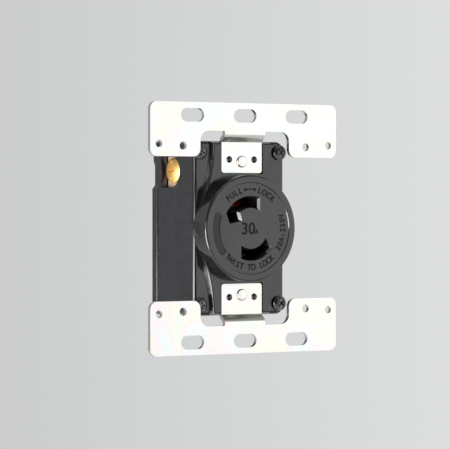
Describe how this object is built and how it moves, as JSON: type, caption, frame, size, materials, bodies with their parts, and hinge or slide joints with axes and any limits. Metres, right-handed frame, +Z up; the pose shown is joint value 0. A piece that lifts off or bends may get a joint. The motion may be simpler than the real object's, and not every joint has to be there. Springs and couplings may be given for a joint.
{
  "type": "flush twist-lock receptacle",
  "caption": "Flush-mounting two-pole twist-lock receptacle, black moulded body with a round face and two curved slots, on two plated steel mounting yokes.",
  "frame": {"origin": "centre of the four box slots, on the back faces of the yokes that rest on the wall box, on the axis of the round face", "axes": "+X to the right seen from the front, +Y into the wall, +Z up; the face looks along -Y"},
  "size_m": [0.0822, 0.0373, 0.093],
  "materials": {
    "zinc_plate": "satin zinc plating with a pale chromate tint",
    "bright_steel": "bright plated steel",
    "black_moulding": "glossy moulded thermoset",
    "black_screw": "black zinc plating",
    "copper": "bare copper alloy strip",
    "spring_steel": "plain spring steel",
    "brass": "bare brass"
  },
  "bodies": {
    "root": {"upper_yoke": "zinc_plate", "lower_yoke": "zinc_plate", "upper_yoke_rivet": "bright_steel", "lower_yoke_rivet": "bright_steel", "upper_rivet_washer": "bright_steel", "lower_rivet_washer": "bright_steel", "body": "black_moulding", "rear_cover": "black_moulding", "case_screws": "black_screw", "case_nuts": "bright_steel", "contact_block": "black_moulding", "upper_contact": "copper", "lower_contact": "copper", "upper_contact_spring": "spring_steel", "lower_contact_spring": "spring_steel", "upper_contact_rivets": "brass", "lower_contact_rivets": "brass", "left_terminal_plate": "brass", "right_terminal_plate": "brass"},
    "left_washer_body": {"left_clamp_washer": "brass"},
    "left_screw_body": {"left_terminal_screw": "brass"},
    "right_washer_body": {"right_clamp_washer": "brass"},
    "right_screw_body": {"right_terminal_screw": "brass"}
  },
  "joints": [
    {"name": "left_washer_travel", "type": "slide", "parent": "root", "child": "left_washer_body", "axis": [-1, 0, 0], "range_m": [-0.00038, 0.003]},
    {"name": "left_screw_turn", "type": "hinge", "parent": "left_washer_body", "child": "left_screw_body", "pos_m": [-0.0184, 0.0189, 0.0215], "axis": [-1, 0, 0], "range_deg": [-172, 1352]},
    {"name": "right_washer_travel", "type": "slide", "parent": "root", "child": "right_washer_body", "axis": [1, 0, 0], "range_m": [-0.00038, 0.003]},
    {"name": "right_screw_turn", "type": "hinge", "parent": "right_washer_body", "child": "right_screw_body", "pos_m": [0.0184, 0.0189, -0.0215], "axis": [1, 0, 0], "range_deg": [-172, 1352]}
  ],
  "couplings": [
    {"joint": "left_screw_turn", "follows": "left_washer_travel", "rad_per_m": 7854},
    {"joint": "right_screw_turn", "follows": "right_washer_travel", "rad_per_m": 7854}
  ]
}
